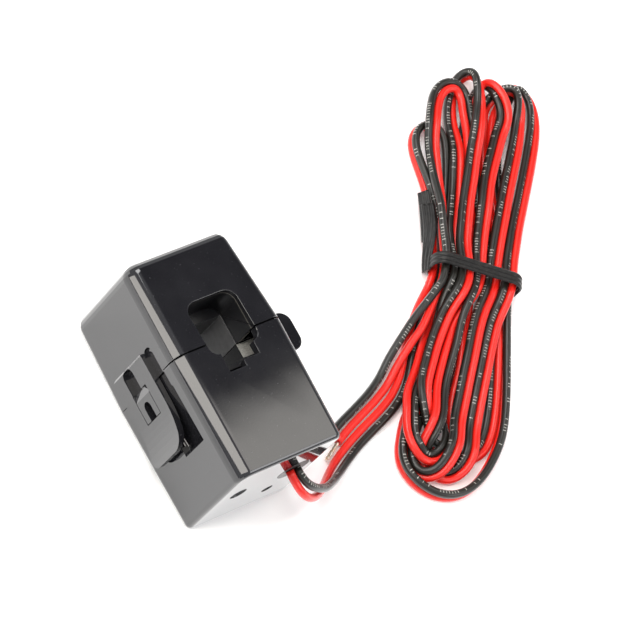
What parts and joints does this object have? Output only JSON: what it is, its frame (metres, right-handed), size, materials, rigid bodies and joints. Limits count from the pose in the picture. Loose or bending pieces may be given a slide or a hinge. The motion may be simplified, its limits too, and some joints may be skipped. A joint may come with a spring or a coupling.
{
  "type": "split-core current transformer",
  "caption": "Hinged split-core current transformer with a square conductor window, side latch strip and a tied hank of red and black lead wire",
  "frame": {"origin": "The axis of the conductor window, at the plane of the case's back face, on which it lies", "axes": "+Z along the conductor, from the back to the front face; +X from the latch to the hinge; +Y from the lead's end to the jaw"},
  "size_m": [0.1494, 0.1046, 0.0321],
  "materials": {
    "case_black": "glossy black moulded plastic",
    "core_steel": "ground grey core faces",
    "spring_steel": "bright spring steel",
    "pin_steel": "bright steel",
    "bobbin_nylon": "natural nylon",
    "copper": "enamelled copper wire",
    "tape_yellow": "polyester tape",
    "board_green": "circuit board",
    "resistor_blue": "coated resistor",
    "diode_black": "moulded package",
    "bushing_black": "black bushing",
    "wire_red": "glossy red PVC insulation",
    "wire_black": "glossy black PVC insulation",
    "hank_wire": "red and black PVC wire",
    "tie_black": "plastic-covered tie",
    "tin": "twisted tinned copper strands"
  },
  "bodies": {
    "base": {"lower_case": "case_black", "hinge_pin": "pin_steel", "core_legs": "core_steel", "core_yoke": "core_steel", "core_cradle": "case_black", "bobbin": "bobbin_nylon", "secondary_winding": "copper", "winding_tape": "tape_yellow", "terminal_pins": "pin_steel", "burden_board": "board_green", "burden_resistor": "resistor_blue", "clamp_diode": "diode_black", "lead_bushing": "bushing_black", "red_lead": "wire_red", "black_lead": "wire_black", "lead_hank": "hank_wire", "twist_tie": "tie_black", "tinned_ends": "tin"},
    "jaw": {"upper_case": "case_black", "upper_core": "core_steel", "core_spring": "spring_steel"}
  },
  "joints": [
    {"name": "jaw_hinge", "type": "hinge", "parent": "base", "child": "jaw", "pos_m": [0.0193, -0.0037, 0.01605], "axis": [0, 0, -1], "range_deg": [0, 90]}
  ]
}
